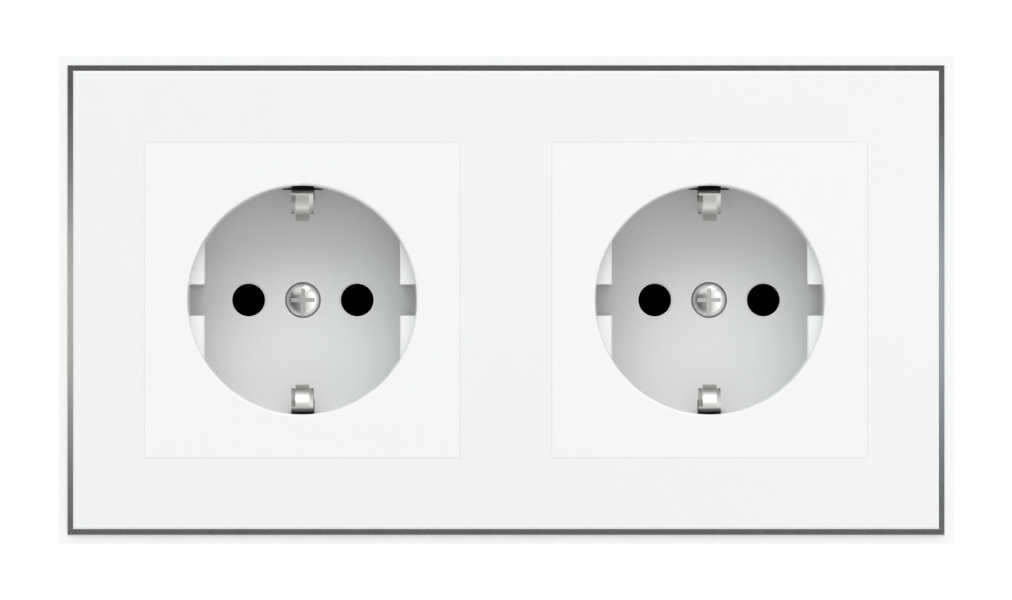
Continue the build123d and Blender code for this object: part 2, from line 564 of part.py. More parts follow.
# Socket base: cup round the recess, block with the contact pockets, wall round the terminals
with BuildPart() as socket_base:
    with BuildSketch(facing(COVER_BACK_Y)):
        Circle(CUP_OUTSIDE)
        Circle(CUP_INSIDE, mode=Mode.SUBTRACT)
    extrude(amount=COVER_BACK_Y)
    with BuildSketch(facing(EAR_THICKNESS)):
        for turn in (45, 135):
            Rectangle(2 * (CUP_OUTSIDE + EAR_REACH), EAR_WIDTH, rotation=turn)
        Circle((CUP_INSIDE + CUP_OUTSIDE) / 2, mode=Mode.SUBTRACT)
        with PolarLocations(TAB_RADIUS, 4, start_angle=45):
            Rectangle(RING_THICKNESS + 2 * FIT_GAP, TAB_WIDTH + 2 * FIT_GAP, mode=Mode.SUBTRACT)
    extrude(amount=EAR_THICKNESS)
    with BuildSketch(facing(BASE_BACK_Y)):
        Circle(CUP_OUTSIDE)
        Rectangle(2 * BLOCK_HALF_WIDTH, 3 * CUP_OUTSIDE, mode=Mode.INTERSECT)
    extrude(amount=BASE_BACK_Y - COVER_BACK_Y)
    with BuildSketch(facing(COVER_BACK_Y + CUP_WALL)):
        Circle(CUP_OUTSIDE)
    extrude(amount=CUP_WALL)
    # room for the terminals, with a rib between live and neutral
    with BuildSketch(facing(BASE_BACK_Y)):
        Circle(CUP_OUTSIDE - BACK_WALL)
        inner_width = 2 * (BLOCK_HALF_WIDTH - BACK_WALL)
        Rectangle(inner_width, 3 * CUP_OUTSIDE, mode=Mode.INTERSECT)
        with Locations((0, -TERMINAL_DROP)):
            Rectangle(BACK_WALL, 2 * TERMINAL_DROP - NUT_SIZE, mode=Mode.SUBTRACT)
    extrude(amount=BACK_WALL_HEIGHT, mode=Mode.SUBTRACT)
    # wire notches in the wall
    with BuildSketch(facing(BASE_BACK_Y)):
        with Locations((-PIN_X, -CUP_OUTSIDE), (PIN_X, -CUP_OUTSIDE)):
            Rectangle(WIRE_NOTCH, 2 * (CUP_OUTSIDE - TERMINAL_DROP - PAD_WIDTH / 2))
        with Locations((0, CUP_OUTSIDE)):
            Rectangle(WIRE_NOTCH, 2 * (CUP_OUTSIDE - EARTH_TERMINAL_RISE - PAD_WIDTH / 2))
    extrude(amount=BACK_WALL_HEIGHT - PAD_THICKNESS, mode=Mode.SUBTRACT)
    # pockets for the contacts, the earth tail, the nut and the screw ends
    with BuildSketch(facing(SHELF_Y)):
        with Locations((-PIN_X, 0), (PIN_X, 0)):
            Rectangle(2 * POCKET, 2 * POCKET)
        with Locations((0, EARTH_TAIL_HEIGHT + EARTH_THICKNESS / 2)):
            Rectangle(EARTH_WIDTH + 2 * FREE_GAP, EARTH_THICKNESS + 2 * FREE_GAP)
        Circle(SCREW_RADIUS + FIT_GAP)
    extrude(amount=BLOCK_DEPTH, mode=Mode.SUBTRACT)
    with BuildSketch(facing(SHELF_Y)):
        Rectangle(NUT_SIZE + 2 * FIT_GAP, NUT_SIZE + 2 * FIT_GAP)
    extrude(amount=SHELF_Y - NUT_Y, mode=Mode.SUBTRACT)
    with BuildSketch(facing(SHELF_Y)):
        for x, z, _ in TERMINALS:
            with Locations((x, z)):
                Rectangle(2 * (TERMINAL_SCREW_RADIUS + FREE_GAP), 2 * (TERMINAL_SCREW_RADIUS + FREE_GAP))
    extrude(amount=TERMINAL_SCREW_LENGTH, mode=Mode.SUBTRACT)

# Support ring: steel plate on the wall, with tabs hooked through the ears of the base
with BuildPart() as support_ring:
    with BuildSketch(facing(0)) as ring_face:
        Rectangle(RING_SIZE, RING_SIZE)
        chamfer(ring_face.vertices(), RING_CORNER)
        RegularPolygon(RING_OPENING, 8, major_radius=False, rotation=22.5, mode=Mode.SUBTRACT)
        with Locations((0, -BOX_SCREW_SPACING / 2), (0, BOX_SCREW_SPACING / 2)):
            Circle(BOX_SCREW_HOLE_RADIUS, mode=Mode.SUBTRACT)
        swing = CLAW_HEAD_RADIUS * sin(radians(CLAW_SWING)) + FREE_GAP
        for side in (-1, 1):
            with Locations((side * (CLAW_X + swing / 2), 0)):
                slot_width = 2 * (CLAW_SCREW_RADIUS + FREE_GAP)
                Rectangle(slot_width + swing, slot_width, mode=Mode.SUBTRACT)
    extrude(amount=RING_THICKNESS)
    with BuildSketch(facing(EAR_THICKNESS)):
        with PolarLocations(TAB_RADIUS, 4, start_angle=45):
            Rectangle(RING_THICKNESS, TAB_WIDTH)
    extrude(amount=EAR_THICKNESS)
    with BuildSketch(facing(EAR_THICKNESS + RING_THICKNESS)):
        with PolarLocations(TAB_RADIUS + TAB_HOOK / 2, 4, start_angle=45):
            Rectangle(RING_THICKNESS + TAB_HOOK, TAB_WIDTH)
    extrude(amount=RING_THICKNESS)


def claw(side):
    """Toothed plate beside the cup, with a foot that the claw screw threads into."""
    inner = CLAW_X + CLAW_SCREW_RADIUS + FREE_GAP
    outer = inner + CLAW_THICKNESS
    with BuildPart() as plate:
        with BuildSketch(Plane.XY):
            with BuildLine():
                Polyline(
                    (side * (CLAW_X - CLAW_FOOT_REACH), CLAW_FOOT_Y),
                    (side * outer, CLAW_FOOT_Y),
                    (side * outer, CLAW_TOP),
                    (side * inner, CLAW_TOP),
                    (side * inner, CLAW_FOOT_Y - CLAW_THICKNESS),
                    (side * (CLAW_X - CLAW_FOOT_REACH), CLAW_FOOT_Y - CLAW_THICKNESS),
                    close=True,
                )
            make_face()
        extrude(amount=CLAW_WIDTH / 2, both=True)
        with BuildSketch(Plane.XY):
            with BuildLine():
                Polyline(
                    (side * outer, CLAW_FOOT_Y),
                    (side * (outer + CLAW_TOOTH), CLAW_FOOT_Y - CLAW_TOOTH),
                    (side * outer, CLAW_FOOT_Y - 5 * CLAW_TOOTH),
                    close=True,
                )
            make_face()
        extrude(amount=CLAW_WIDTH / 2, both=True)
        with BuildSketch(facing(CLAW_FOOT_Y)):
            with Locations((side * CLAW_X, 0)):
                Circle(CLAW_SCREW_RADIUS + FIT_GAP / 2)
            with Locations((side * (outer + CLAW_TOOTH), 0)):
                Rectangle(2 * CLAW_TOOTH, CLAW_WIDTH / 2)
        extrude(amount=5 * CLAW_TOOTH, mode=Mode.SUBTRACT)
    return plate.part


def claw_screw(side):
    """Slotted screw that rocks in its slot in the support ring."""
    x = side * CLAW_X
    seat_y = -RING_THICKNESS - CLAW_SEAT_GAP
    end_y = CLAW_FOOT_Y + CLAW_SCREW_TAIL
    with BuildPart() as screw:
        with BuildSketch(Plane.XY):
            with BuildLine():
                Polyline(
                    (x, CLAW_PIVOT_Y - CLAW_HEAD_TOP),
                    (x + CLAW_HEAD_RADIUS, CLAW_PIVOT_Y - CLAW_HEAD_TOP),
                    (x + CLAW_HEAD_RADIUS, seat_y),
                    (x + CLAW_SCREW_RADIUS, seat_y),
                    (x + CLAW_SCREW_RADIUS, end_y),
                    (x, end_y),
                    close=True,
                )
            make_face()
        revolve(axis=Axis((x, 0, 0), (0, 1, 0)))
        with BuildSketch(facing(CLAW_PIVOT_Y)):
            with Locations((x, 0)):
                Rectangle(DRIVER_SLOT, 3 * CLAW_HEAD_RADIUS)
        extrude(amount=CLAW_HEAD_TOP, mode=Mode.SUBTRACT)
    return screw.part


# Labels and files: three pieces for the pair, then one set of pieces for each gang
os.makedirs("parts", exist_ok=True)
mounting_frame.part.label = "mounting_frame"
export_step(mounting_frame.part, "parts/mounting_frame.step")
trim_ring.part.label = "trim_ring"
export_step(trim_ring.part, "parts/trim_ring.step")
glass_panel.part.label = "glass_panel"
export_step(glass_panel.part, "parts/glass_panel.step")

INSERT = {
    "centre_plate": centre_plate.part,
    "centre_screw": centre_screw.part,
    "screw_nut": screw_nut.part,
    "earth_bracket": earth_bracket.part,
    "shutter": shutter.part,
    "shutter_spring": shutter_spring.part,
    "contact_cover": contact_cover.part,
    "live_contact": pin_contact(-1),
    "neutral_contact": pin_contact(1),
    "terminal_clamps": terminal_clamps.part,
    "terminal_screws": terminal_screws.part,
    "socket_base": socket_base.part,
    "support_ring": support_ring.part,
    "claw_left": claw(-1),
    "claw_right": claw(1),
    "claw_screw_left": claw_screw(-1),
    "claw_screw_right": claw_screw(1),
}
for gang, gang_x in GANG_CENTRES.items():
    for name, piece in INSERT.items():
        placed = piece.moved(Location((gang_x, 0, 0)))
        placed.label = f"{gang}_{name}"
        export_step(placed, f"parts/{placed.label}.step")
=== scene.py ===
import json
from math import atan2, degrees, radians, sqrt, tau

import bpy
from mathutils import Matrix, Vector


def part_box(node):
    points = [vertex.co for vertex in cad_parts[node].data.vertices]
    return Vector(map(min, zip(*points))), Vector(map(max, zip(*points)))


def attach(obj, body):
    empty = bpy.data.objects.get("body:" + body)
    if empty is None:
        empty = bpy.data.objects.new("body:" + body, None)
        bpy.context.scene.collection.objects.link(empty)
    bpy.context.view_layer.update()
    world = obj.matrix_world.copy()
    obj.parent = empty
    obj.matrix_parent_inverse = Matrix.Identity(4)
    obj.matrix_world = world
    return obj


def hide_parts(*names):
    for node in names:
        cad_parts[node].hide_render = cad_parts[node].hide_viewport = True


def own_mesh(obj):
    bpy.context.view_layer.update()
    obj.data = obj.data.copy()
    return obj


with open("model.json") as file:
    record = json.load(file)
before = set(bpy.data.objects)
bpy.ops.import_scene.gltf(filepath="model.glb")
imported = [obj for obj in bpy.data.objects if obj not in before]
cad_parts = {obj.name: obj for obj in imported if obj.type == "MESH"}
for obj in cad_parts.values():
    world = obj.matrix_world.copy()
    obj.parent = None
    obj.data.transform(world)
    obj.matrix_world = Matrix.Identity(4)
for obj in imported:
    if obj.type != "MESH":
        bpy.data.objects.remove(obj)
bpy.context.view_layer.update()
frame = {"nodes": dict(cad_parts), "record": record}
scene = bpy.context.scene
scene.view_settings.view_transform = "Standard"

MM = 0.001
TINY = 1e-6
GANGS = {"left": -0.0355, "right": 0.0355}
SIDES = {"left": -1, "right": 1}
TOWARDS_FRONT = (radians(90), 0, 0)
PLATE_FRONT = -10.3 * MM
# degrees above which an edge stays sharp
FOLD_ANGLE, PIECE_ANGLE, THREAD_ANGLE, DOME_ANGLE = 20, 35, 32, 40


# Modelling helpers

def deselect():
    if bpy.context.object and bpy.context.object.mode != "OBJECT":
        bpy.ops.object.mode_set(mode="OBJECT")
    bpy.ops.object.select_all(action="DESELECT")


def activate(obj):
    deselect()
    obj.select_set(True)
    bpy.context.view_layer.objects.active = obj


def apply_place():
    bpy.ops.object.transform_apply(location=True, rotation=True, scale=True)


def pick(obj, mode, parts, test):
    """Selects in edit mode those parts of a mesh that pass the test."""
    bpy.ops.object.mode_set(mode="EDIT")
    bpy.ops.mesh.select_mode(type=mode)
    bpy.ops.mesh.select_all(action="DESELECT")
    bpy.ops.object.mode_set(mode="OBJECT")
    for part in getattr(obj.data, parts):
        part.select = test(part)
    bpy.ops.object.mode_set(mode="EDIT")


def pick_faces(obj, test):
    """Selects the faces whose normal passes the test."""
    pick(obj, "FACE", "polygons", lambda face: test(face.normal))


def pick_edges(obj, test):
    """Selects the edges whose two ends pass the test."""
    pick(obj, "EDGE", "edges", lambda edge: test(*(obj.data.vertices[end].co for end in edge.vertices)))


def pick_points(obj, test):
    """Selects the points that pass the test."""
    pick(obj, "VERT", "vertices", test)


def extrude(along):
    bpy.ops.mesh.extrude_region_move(TRANSFORM_OT_translate={"value": along})


def settle(obj, name, angle=PIECE_ANGLE):
    """Applies the place, merges doubles, recalculates the normals and smooths by angle."""
    activate(obj)
    apply_place()
    bpy.ops.object.mode_set(mode="EDIT")
    bpy.ops.mesh.select_all(action="SELECT")
    bpy.ops.mesh.remove_doubles(threshold=TINY)
    bpy.ops.mesh.normals_make_consistent(inside=False)
    bpy.ops.object.mode_set(mode="OBJECT")
    bpy.ops.object.shade_smooth_by_angle(angle=radians(angle))
    obj.name = obj.data.name = name
    return obj


def combine(obj, tool, operation):
    """Cuts another shape out of a piece or joins it on, and removes that shape."""
    activate(obj)
    step = obj.modifiers.new("step", "BOOLEAN")
    step.operation, step.object, step.solver = operation, tool, "EXACT"
    bpy.ops.object.modifier_apply(modifier="step")
    bpy.data.objects.remove(tool)


def thicken(obj, thickness, offset):
    """Gives the active flat shape its thickness."""
    sheet = obj.modifiers.new("sheet", "SOLIDIFY")
    sheet.thickness, sheet.offset = thickness, offset
    bpy.ops.object.modifier_apply(modifier="sheet")


def bar(size, place):
    """A box: a cutter for driver slots, or a start for a web."""
    deselect()
    bpy.ops.mesh.primitive_cube_add(size=1, location=place)
    box = bpy.context.object
    box.scale = size
    apply_place()
    return box


def blank(radius, front, back, x, corners):
    """A round blank between two depths."""
    deselect()
    bpy.ops.mesh.primitive_cylinder_add(
        vertices=corners, radius=radius, depth=back - front,
        location=(x, (front + back) / 2, 0), rotation=TOWARDS_FRONT,
    )
    apply_place()
    return bpy.context.object


def copy_to(obj, name, place):
    """A copy with a mesh of its own, moved to its place within that mesh."""
    twin = obj.copy()
    twin.data = obj.data.copy()
    twin.data.transform(Matrix.Translation(place))
    twin.name = twin.data.name = name
    scene.collection.objects.link(twin)
    return twin


def own_copy(node, name):
    """A merged copy of a CAD node that may be edited, without the node's stored normals."""
    piece = settle(copy_to(frame["nodes"][node], name, (0, 0, 0)), name)
    if piece.data.has_custom_normals:
        bpy.ops.mesh.customdata_custom_splitnormals_clear()
    return piece


# Node helpers

def grey(level):
    return level, level, level


def set_stops(ramp, stops):
    """Sets a colour ramp from pairs of a position and a colour."""
    points = ramp.color_ramp.elements
    while len(points) < len(stops):
        points.new(0.5)
    for point, (at, colour) in zip(points, stops):
        point.position, point.color = at, (*colour, 1)


def add_range(nodes, start, end, low=0, high=1):
    """A node that spreads the values between start and end from low to high."""
    spread = nodes.new("ShaderNodeMapRange")
    spread.inputs["From Min"].default_value, spread.inputs["From Max"].default_value = start, end
    spread.inputs["To Min"].default_value, spread.inputs["To Max"].default_value = low, high
    return spread


class Finish:
    """A node material that is built up line by line."""

    # most of a noise pattern lies between these values
    LOW, HIGH = 0.3, 0.7

    def __init__(self, name, colour, rough, metallic=0.0):
        self.material = bpy.data.materials.new(name)
        self.material.use_nodes = True
        self.nodes, self.links = self.material.node_tree.nodes, self.material.node_tree.links
        self.shader = self.nodes["Principled BSDF"]
        self.shader.inputs["Metallic"].default_value = metallic
        self.shader.inputs["Roughness"].default_value = rough
        self.shader.inputs["Base Color"].default_value = (*colour, 1)
        self.where = self.nodes.new("ShaderNodeTexCoord").outputs["Object"]

    def noise(self, scale, detail=2.0, stretch=(1, 1, 1)):
        mapping = self.nodes.new("ShaderNodeMapping")
        mapping.inputs["Scale"].default_value = stretch
        texture = self.nodes.new("ShaderNodeTexNoise")
        texture.inputs["Scale"].default_value = scale
        texture.inputs["Detail"].default_value = detail
        self.links.new(self.where, mapping.inputs["Vector"])
        self.links.new(mapping.outputs["Vector"], texture.inputs["Vector"])
        return texture.outputs["Fac"]

    def cells(self, scale):
        texture = self.nodes.new("ShaderNodeTexVoronoi")
        texture.inputs["Scale"].default_value = scale
        self.links.new(self.where, texture.inputs["Vector"])
        return texture.outputs["Color"]

    def depth(self, front, back):
        """Runs from 0 to 1 between two depths into the wall."""
        split = self.nodes.new("ShaderNodeSeparateXYZ")
        spread = add_range(self.nodes, front, back)
        self.links.new(self.where, split.inputs["Vector"])
        self.links.new(split.outputs["Y"], spread.inputs["Value"])
        return spread.outputs["Result"]

    def tones(self, value, stops):
        """Colours the piece along a value."""
        ramp = self.nodes.new("ShaderNodeValToRGB")
        set_stops(ramp, stops)
        self.links.new(value, ramp.inputs["Fac"])
        self.links.new(ramp.outputs["Color"], self.shader.inputs["Base Color"])

    def colour(self, value, low, high, start=LOW, end=HIGH):
        self.tones(value, [(start, low), (end, high)])

    def rough(self, value, low, high):
        spread = add_range(self.nodes, self.LOW, self.HIGH, low, high)
        self.links.new(value, spread.inputs["Value"])
        self.links.new(spread.outputs["Result"], self.shader.inputs["Roughness"])

    def bump(self, value, strength, distance):
        bump = self.nodes.new("ShaderNodeBump")
        bump.inputs["Strength"].default_value = strength
        bump.inputs["Distance"].default_value = distance
        self.links.new(value, bump.inputs["Height"])
        self.links.new(bump.outputs["Normal"], self.shader.inputs["Normal"])


# Finishes, one for each material slot of the record

def plate_white():
    # the floor tone is darker than the front: painted shade in the recess
    front, floor = (0.87, 0.875, 0.875), (0.81, 0.815, 0.815)
    finish = Finish("plate_white", front, 0.3)
    # painted light and shade by depth: palest on the guides (painted light), darker deeper into the recess
    # down to the floor (painted shade), and a painted highlight on the rims of the pin holes, which lie
    # just behind the recess floor
    finish.tones(finish.depth(-9 * MM, 7.35 * MM), [
        (0.04, front), (0.1, (0.905, 0.91, 0.91)), (0.978, floor), (0.992, floor), (1, grey(0.98)),
    ])
    finish.rough(finish.noise(400), 0.28, 0.32)
    finish.bump(finish.noise(2600), 0.02, 0.00002)
    return finish.material


def glass_white():
    finish = Finish("glass_white", (0.865, 0.87, 0.87), 0.08)
    finish.colour(finish.noise(45), (0.862, 0.867, 0.867), (0.869, 0.874, 0.874))
    finish.rough(finish.noise(140), 0.05, 0.1)
    finish.shader.inputs["IOR"].default_value = 1.52
    finish.shader.inputs["Coat Weight"].default_value = 0.5
    finish.shader.inputs["Coat Roughness"].default_value = 0.02
    return finish.material


def frame_white():
    finish = Finish("frame_white", (0.885, 0.89, 0.89), 0.5)
    finish.colour(finish.noise(300), (0.88, 0.885, 0.885), (0.89, 0.895, 0.895))
    finish.rough(finish.noise(700), 0.44, 0.56)
    finish.bump(finish.noise(1800, 4), 0.12, 0.00006)
    return finish.material


def trim_chrome():
    finish = Finish("trim_chrome", (0.79, 0.8, 0.81), 0.12, 1.0)
    finish.colour(finish.noise(120), (0.77, 0.78, 0.79), (0.81, 0.82, 0.83))
    finish.rough(finish.noise(700, 3), 0.1, 0.16)
    return finish.material


def nickel_steel():
    finish = Finish("nickel_steel", (0.76, 0.755, 0.74), 0.24, 1.0)
    finish.colour(finish.noise(300), (0.745, 0.74, 0.725), (0.775, 0.77, 0.755))
    finish.rough(finish.noise(700, 2), 0.2, 0.25)
    finish.bump(finish.noise(4200), 0.02, 0.00002)
    return finish.material


def nickel_bronze():
    """Bright at the front, darker deeper in: painted shade on the nose and on the leaf inside its slot."""
    finish = Finish("nickel_bronze", (0.8, 0.79, 0.765), 0.2, 1.0)
    # painted shade: the colour falls to about half behind 5.2 mm before the wall, over the nose and the
    # leaf in the slot
    finish.colour(finish.depth(-6.2 * MM, -5.2 * MM), (0.81, 0.8, 0.775), (0.46, 0.448, 0.43), 0, 1)
    finish.rough(finish.noise(900, 3, (6, 1, 1)), 0.28, 0.33)
    finish.bump(finish.noise(1500, 2, (8, 1, 1)), 0.02, 0.00002)
    return finish.material


def zinc_steel():
    finish = Finish("zinc_steel", (0.62, 0.63, 0.65), 0.36, 1.0)
    finish.colour(finish.cells(420), (0.56, 0.57, 0.59), (0.67, 0.68, 0.7), 0.1, 0.9)
    finish.rough(finish.noise(650, 4), 0.28, 0.46)
    finish.bump(finish.noise(1400, 4), 0.1, 0.00005)
    return finish.material


def spring_steel():
    finish = Finish("spring_steel", (0.52, 0.52, 0.53), 0.28, 1.0)
    finish.colour(finish.noise(300, 2, (1, 8, 1)), (0.46, 0.46, 0.48), (0.57, 0.57, 0.58))
    finish.rough(finish.noise(1200, 3), 0.22, 0.36)
    return finish.material


def contact_brass():
    finish = Finish("contact_brass", (0.74, 0.56, 0.25), 0.3, 1.0)
    finish.colour(finish.noise(240, 4), (0.66, 0.48, 0.2), (0.8, 0.62, 0.3))
    finish.rough(finish.noise(900, 4), 0.22, 0.42)
    finish.bump(finish.noise(2400, 2, (1, 6, 1)), 0.06, 0.00003)
    return finish.material


def shutter_black():
    # black plastic whose colour is taken down to near zero: in part painted shade deep in the pin holes
    finish = Finish("shutter_black", grey(0.002), 0.7)
    finish.colour(finish.noise(500), grey(0.0015), grey(0.0026))
    finish.rough(finish.noise(1500), 0.6, 0.8)
    finish.shader.inputs["Specular IOR Level"].default_value = 0.04
    return finish.material


def base_black():
    finish = Finish("base_black", (0.03, 0.03, 0.031), 0.5)
    finish.colour(finish.noise(420, 6), (0.024, 0.024, 0.025), (0.037, 0.037, 0.038))
    finish.rough(finish.noise(800, 3), 0.4, 0.6)
    finish.bump(finish.noise(1600, 5), 0.15, 0.00006)
    return finish.material


FINISHES = {
    make.__name__: make()
    for make in (
        plate_white, glass_white, frame_white, trim_chrome, nickel_steel, nickel_bronze,
        zinc_steel, spring_steel, contact_brass, shutter_black, base_black,
    )
}


def give(obj, slot):
    obj.data.materials.clear()
    obj.data.materials.append(FINISHES[slot])


def install(obj, slot, body, replaced=None):
    """Gives a finished piece its material, hides the node that it stands for and hangs it on the body that
    it moves with.
    """
    give(obj, slot)
    if replaced:
        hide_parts(replaced)
    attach(obj, body)


for subpart in frame["record"]["subparts"]:
    give(frame["nodes"][subpart["node"]], subpart["material_slot"])


# Glass panel, brought up to the plates so that these stand only a hair proud of it

def raised_glass():
    forward, front_zone = 0.26 * MM, 0.5 * MM
    low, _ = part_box("glass_panel")
    glass = own_copy("glass_panel", "raised_glass")
    pick_points(glass, lambda point: point.co.y < low.y + front_zone)
    bpy.ops.transform.translate(value=(0, -forward, 0))
    bpy.ops.object.mode_set(mode="OBJECT")
    settle(glass, "raised_glass", FOLD_ANGLE)
    install(glass, "glass_white", "unit", "glass_panel")


raised_glass()


# Trim whose bevel runs right up to the glass

def bevelled_trim():
    bevel, added = 0.8 * MM, 0.18 * MM
    low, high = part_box("trim_ring")
    reach_x, reach_z = high.x - bevel, high.z - bevel
    trim = own_copy("trim_ring", "bevelled_trim")
    pick_points(trim, lambda point: point.co.y < low.y + added / 2)
    bpy.ops.transform.translate(value=(0, -added, 0))
    pick_points(trim, lambda point: point.co.y < low.y and abs(point.co.x) > reach_x - added / 2)
    bpy.ops.transform.resize(
        value=((reach_x - added) / reach_x, 1, (reach_z - added) / reach_z), center_override=(0, 0, 0),
    )
    bpy.ops.object.mode_set(mode="OBJECT")
    settle(trim, "bevelled_trim", FOLD_ANGLE)
    install(trim, "trim_chrome", "unit", "trim_ring")


bevelled_trim()


# Crisp edges of the centre plates, filling the small chamfer of the solids

def plate_edge(gang, gang_x):
    width, set_back = 0.2 * MM, 0.004 * MM
    low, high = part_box(f"{gang}_centre_plate")
    deselect()
    bpy.ops.mesh.primitive_plane_add(
        size=high.x - low.x, location=(gang_x, low.y + set_back, 0), rotation=TOWARDS_FRONT,
    )
    edge = bpy.context.object
    apply_place()
    pick_faces(edge, lambda normal: True)
    bpy.ops.mesh.inset(thickness=width)
    bpy.ops.mesh.delete(type="FACE")
    bpy.ops.object.mode_set(mode="OBJECT")
    thicken(edge, width, -1)
    settle(edge, f"{gang}_plate_edge")
    install(edge, "plate_white", "unit")


for gang, gang_x in GANGS.items():
    plate_edge(gang, gang_x)


# Centre screw: domed head with a cross recess

def centre_screw(gang, gang_x):
    head_height, dome, rings = 2.0 * MM, 0.7 * MM, 9
    shank, tip, tip_share = 1.75 * MM, 0.5 * MM, 0.75
    cross_length, cross_width, cross_depth = 4.05 * MM, 0.7 * MM, 0.85 * MM
    low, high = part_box(f"{gang}_centre_screw")
    radius = (high.x - low.x) / 2
    seat = low.y + head_height
    screw = blank(radius, low.y + dome, seat, gang_x, corners=96)
    pick_faces(screw, lambda normal: normal.y > 0.9)
    bpy.ops.mesh.inset(thickness=radius - shank)
    extrude((0, high.y - seat - tip, 0))
    extrude((0, tip, 0))
    bpy.ops.transform.resize(value=(tip_share, 1, tip_share))
    # the dome rises in rings, each set in and lifted along a sphere
    sphere = (radius**2 + dome**2) / (2 * dome)
    pick_faces(screw, lambda normal: normal.y < -0.9)
    ring_before, lift_before = radius, 0.0
    for step in range(1, rings + 1):
        ring = radius * (1 - step / (rings + 0.6))
        lift = sqrt(sphere**2 - ring**2) - (sphere - dome)
        bpy.ops.mesh.inset(thickness=ring_before - ring)
        bpy.ops.transform.translate(value=(0, lift_before - lift, 0))
        ring_before, lift_before = ring, lift
    bpy.ops.object.mode_set(mode="OBJECT")
    settle(screw, f"{gang}_domed_screw", DOME_ANGLE)
    for wide, tall in ((cross_length, cross_width), (cross_width, cross_length)):
        combine(screw, bar((wide, 2 * cross_depth, tall), (gang_x, low.y, 0)), "DIFFERENCE")
    settle(screw, f"{gang}_domed_screw", DOME_ANGLE)
    install(screw, "nickel_steel", "unit", f"{gang}_centre_screw")


for gang, gang_x in GANGS.items():
    centre_screw(gang, gang_x)


# Earth straps: the lower clip sits a little lower in its slot, the upper nose reaches further in

def earth_strap(gang):
    lower, stretch = 0.35 * MM, 0.09 * MM
    low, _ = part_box(f"{gang}_earth_bracket")
    bend_y, bend_z = low.y + 4.24 * MM, 18.61 * MM
    leaf_back, nose_back, nose_top = low.y + 7 * MM, low.y + 6.1 * MM, 15.0 * MM
    strap = own_copy(f"{gang}_earth_bracket", f"{gang}_earth_strap")
    # where each point of the upper nose lies round the bend, in degrees from the nose's end
    slopes = [
        degrees(atan2(bend_y - point.co.y, bend_z - point.co.z)) if 0 < point.co.z < nose_top else 90
        for point in strap.data.vertices
    ]
    pick_points(strap, lambda point: point.co.y < leaf_back and point.co.z < 0)
    bpy.ops.transform.translate(value=(0, 0, -lower))
    # row by row round the bend, from the ends of the rails to the nose
    for slope in (29, 25, 19, 14, 8, 3):
        pick_points(strap, lambda point: point.co.y < nose_back and slopes[point.index] < slope)
        bpy.ops.transform.translate(value=(0, 0, -stretch))
    bpy.ops.object.mode_set(mode="OBJECT")
    settle(strap, f"{gang}_earth_strap", FOLD_ANGLE)
    install(strap, "nickel_bronze", "unit", f"{gang}_earth_bracket")


for gang in GANGS:
    earth_strap(gang)


# Webs that close the lower clip slot on both sides of the leaf

def slot_webs():
    size = (1.55 * MM, 1.6 * MM, 1.38 * MM)
    front, middle, height = 3.0 * MM, 3.8 * MM, -19.91 * MM
    offset, bevel = 2.765 * MM, 0.12 * MM
    web = bar(size, (0, middle, height))
    pick_edges(web, lambda a, b: max(a.y, b.y) < front + bevel)
    bpy.ops.mesh.bevel(offset=bevel, segments=2)
    bpy.ops.object.mode_set(mode="OBJECT")
    settle(web, "slot_web")
    for gang, gang_x in GANGS.items():
        for side, across in SIDES.items():
            piece = copy_to(web, f"{gang}_slot_web_{side}", (gang_x + across * offset, 0, 0))
            install(piece, "plate_white", "unit")
    bpy.data.objects.remove(web)


slot_webs()


# Terminal and claw screws: a head at the origin that faces along +Y, with a thread behind it

def thread(radius, length, pitch, depth):
    """A threaded rod along Y from the origin, cut flat at both ends."""
    deselect()
    bpy.ops.mesh.primitive_plane_add(size=pitch, location=(radius - depth, -pitch, 0))
    rod = bpy.context.object
    apply_place()
    bpy.ops.object.mode_set(mode="EDIT")
    bpy.ops.mesh.select_mode(type="VERT")
    bpy.ops.mesh.select_all(action="SELECT")
    bpy.ops.mesh.merge(type="CENTER")
    for across in (depth, -depth):
        extrude((across, pitch / 2, 0))
    bpy.ops.object.mode_set(mode="OBJECT")
    turns = rod.modifiers.new("turns", "SCREW")
    turns.axis, turns.angle, turns.screw_offset = "Y", tau, pitch
    turns.iterations = int(length / pitch) + 3
    turns.steps = turns.render_steps = 28
    turns.use_merge_vertices, turns.merge_threshold = True, TINY / 10
    bpy.ops.object.modifier_apply(modifier="turns")
    settle(rod, "threaded_rod")
    for end, away in ((0, -1), (length, 1)):
        bpy.ops.object.mode_set(mode="EDIT")
        bpy.ops.mesh.select_all(action="SELECT")
        bpy.ops.mesh.bisect(
            plane_co=(0, end, 0), plane_no=(0, away, 0),
            use_fill=True, clear_outer=True, threshold=TINY / 10,
        )
        bpy.ops.object.mode_set(mode="OBJECT")
    return settle(rod, "threaded_rod")


def slotted_screw(name, head, height, shank, length, slots):
    """A round-headed screw: the head rises to y = 0 from behind, the thread runs off towards -Y."""
    screw = blank(head, -height, 0, 0, corners=64)
    pick_edges(screw, lambda a, b: min(a.y, b.y) > -TINY)
    bpy.ops.mesh.bevel(offset=height * 0.28, segments=4, profile=0.55)
    pick_edges(screw, lambda a, b: max(a.y, b.y) < TINY - height)
    bpy.ops.mesh.bevel(offset=height * 0.06, segments=2)
    rod = thread(shank, length + height * 0.4, shank / 3, shank * 0.16)
    rod.data.transform(Matrix.Translation((0, -height - length, 0)))
    combine(screw, rod, "UNION")
    for wide, tall, deep in slots:
        combine(screw, bar((wide, 2 * deep, tall), (0, 0, 0)), "DIFFERENCE")
    return settle(screw, name, THREAD_ANGLE)


